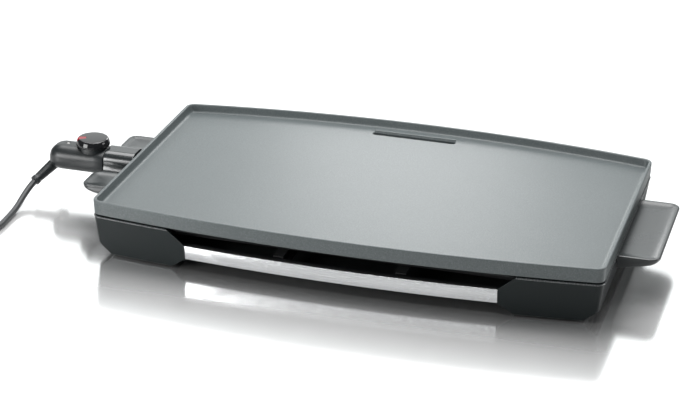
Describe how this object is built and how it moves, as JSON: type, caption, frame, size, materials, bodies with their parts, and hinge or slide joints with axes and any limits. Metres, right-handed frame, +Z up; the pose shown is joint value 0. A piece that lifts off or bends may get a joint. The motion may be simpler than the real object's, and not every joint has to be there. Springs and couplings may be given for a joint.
{
  "type": "electric griddle",
  "caption": "Long table griddle with a low-rimmed non-stick plate on a black base, steel trim, side grips, rear grease tray and a plug-in thermostat with mains lead.",
  "frame": {"origin": "middle of the griddle's bounding box, at the table, measured without the mains lead", "axes": "+X along the length, away from the thermostat; +Y to the back, where the drain slot and the tray are; +Z up"},
  "size_m": [0.7792, 0.5351, 0.069],
  "materials": {
    "base_plastic": "fine-grained matte",
    "handle_plastic": "satin",
    "nonstick_coat": "satin non-stick coat on cast aluminium",
    "trim_steel": "brushed along its length",
    "rail_plastic": "matte",
    "shield_sheet": "heat-resistant black",
    "foot_rubber": "matte",
    "rest_silicone": "matte",
    "screw_steel": "zinc plated",
    "heater_sheath": "heat tinted",
    "pin_steel": "nickel plated",
    "shroud_plastic": "gloss",
    "plug_plastic": "satin",
    "contact_brass": "bright",
    "switch_ceramic": "steatite",
    "lamp_glass": "clear",
    "lamp_lens": "translucent",
    "knob_plastic": "high gloss",
    "knob_mark": "red insert",
    "tray_plastic": "satin",
    "cord_jacket": "satin flexible jacket",
    "tie_strap": "strap",
    "mains_rubber": "moulded"
  },
  "bodies": {
    "base": {"casing_left": "base_plastic", "casing_right": "base_plastic", "handle_left": "handle_plastic", "handle_right": "handle_plastic", "front_trim": "trim_steel", "front_rail": "rail_plastic", "rear_rail": "rail_plastic", "base_floor": "rail_plastic", "heat_shield": "shield_sheet", "tray_guide_left": "shield_sheet", "tray_guide_right": "shield_sheet", "foot_pad_front_left": "foot_rubber", "foot_pad_front_right": "foot_rubber", "foot_pad_rear_left": "foot_rubber", "foot_pad_rear_right": "foot_rubber", "plate_rest_front_left": "rest_silicone", "plate_rest_front_right": "rest_silicone", "plate_rest_rear_left": "rest_silicone", "plate_rest_rear_right": "rest_silicone", "handle_screw_left_front": "screw_steel", "handle_screw_right_front": "screw_steel", "handle_screw_left_rear": "screw_steel", "handle_screw_right_rear": "screw_steel", "rail_screw_front_left": "screw_steel", "rail_screw_front_right": "screw_steel", "rail_screw_rear_left": "screw_steel", "rail_screw_rear_right": "screw_steel"},
    "plate": {"grill_plate": "nonstick_coat", "heating_element": "heater_sheath", "terminal_pin_front": "pin_steel", "terminal_pin_rear": "pin_steel", "probe_sleeve": "pin_steel", "connector_shroud": "shroud_plastic", "shroud_screw_front": "screw_steel", "shroud_screw_rear": "screw_steel"},
    "thermostat_plug": {"plug_housing_upper": "plug_plastic", "plug_housing_lower": "plug_plastic", "housing_screw_front": "screw_steel", "housing_screw_rear": "screw_steel", "plug_nose": "plug_plastic", "contact_socket_front": "contact_brass", "contact_socket_rear": "contact_brass", "probe_rod": "pin_steel", "thermostat_switch": "switch_ceramic", "pilot_lamp": "lamp_glass", "lamp_lens": "lamp_lens", "strain_relief": "plug_plastic", "power_cord": "cord_jacket", "cord_coil": "cord_jacket", "coil_tie": "tie_strap", "cord_tail": "cord_jacket", "mains_plug": "mains_rubber", "mains_pin_a": "pin_steel", "mains_pin_b": "pin_steel"},
    "knob": {"temperature_knob": "knob_plastic", "knob_mark": "knob_mark", "knob_spindle": "pin_steel"},
    "tray": {"grease_tray": "tray_plastic"}
  },
  "joints": [
    {"name": "plate_lift", "type": "slide", "parent": "base", "child": "plate", "axis": [0, 0, 1], "range_m": [0, 0.06]},
    {"name": "thermostat_pull", "type": "slide", "parent": "plate", "child": "thermostat_plug", "axis": [-1, 0, 0], "range_m": [0, 0.09]},
    {"name": "knob_turn", "type": "hinge", "parent": "thermostat_plug", "child": "knob", "pos_m": [-0.295, -0.003, 0.0602], "axis": [0, 0, 1], "range_deg": [-270, 0]},
    {"name": "tray_slide", "type": "slide", "parent": "base", "child": "tray", "axis": [0, 1, 0], "range_m": [0, 0.1]}
  ]
}
